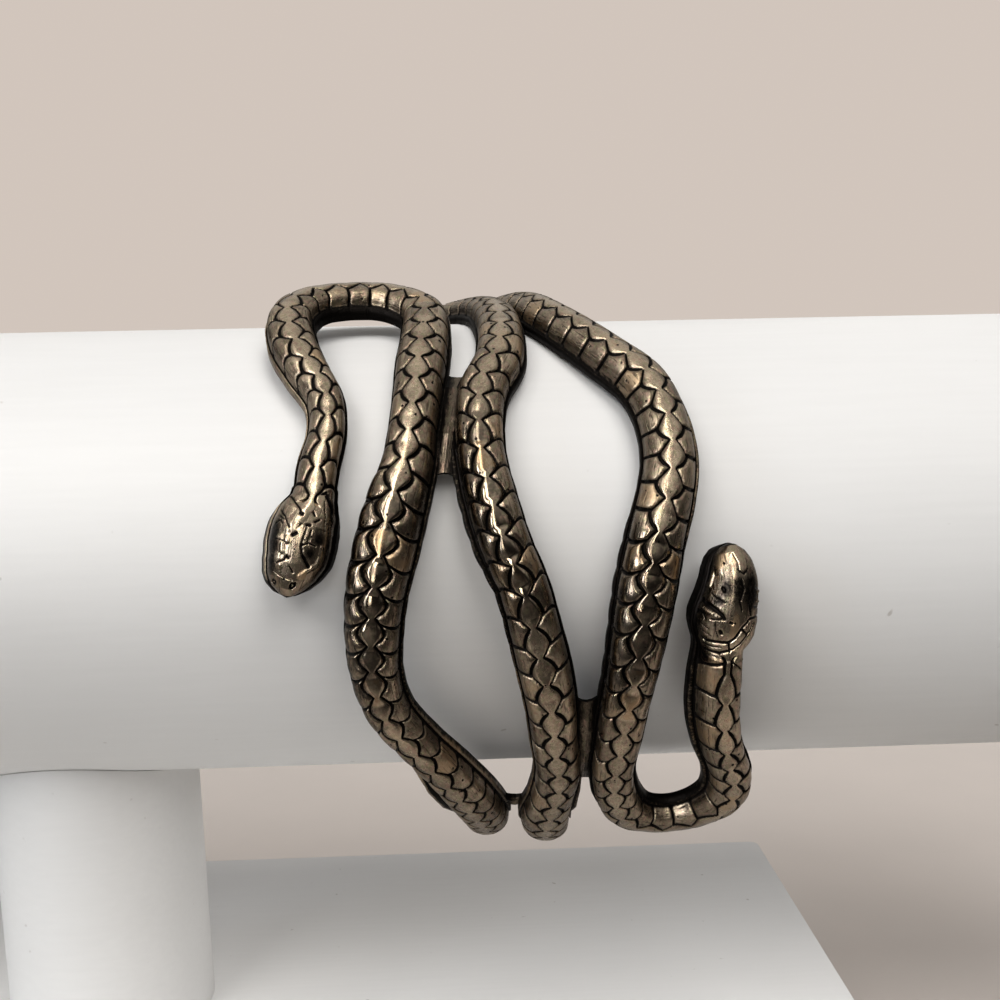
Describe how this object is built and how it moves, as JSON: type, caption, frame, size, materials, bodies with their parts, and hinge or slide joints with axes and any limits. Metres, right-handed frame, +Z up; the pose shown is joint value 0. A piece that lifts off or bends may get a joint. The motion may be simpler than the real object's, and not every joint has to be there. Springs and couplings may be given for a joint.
{
  "type": "snake cuff bracelet on a T-bar display stand",
  "caption": "Open cast cuff shaped as a scaled snake that winds to and fro, with a head at each end, hung on a white T-bar display stand.",
  "frame": {"origin": "middle of the underside of the stand's base, under the post", "axes": "+X along the bar, -Y to the front, +Z up"},
  "size_m": [0.305, 0.088, 0.1038],
  "materials": {
    "antiqued_metal": "cast white metal with a warm cast, polished on the high places and black in the grooves",
    "white_covering": "smooth white covering with a faint grain and a soft sheen"
  },
  "bodies": {
    "root": {"snake_cuff": "antiqued_metal", "stand_bar": "white_covering", "stand_post": "white_covering", "stand_base": "white_covering"}
  },
  "joints": []
}
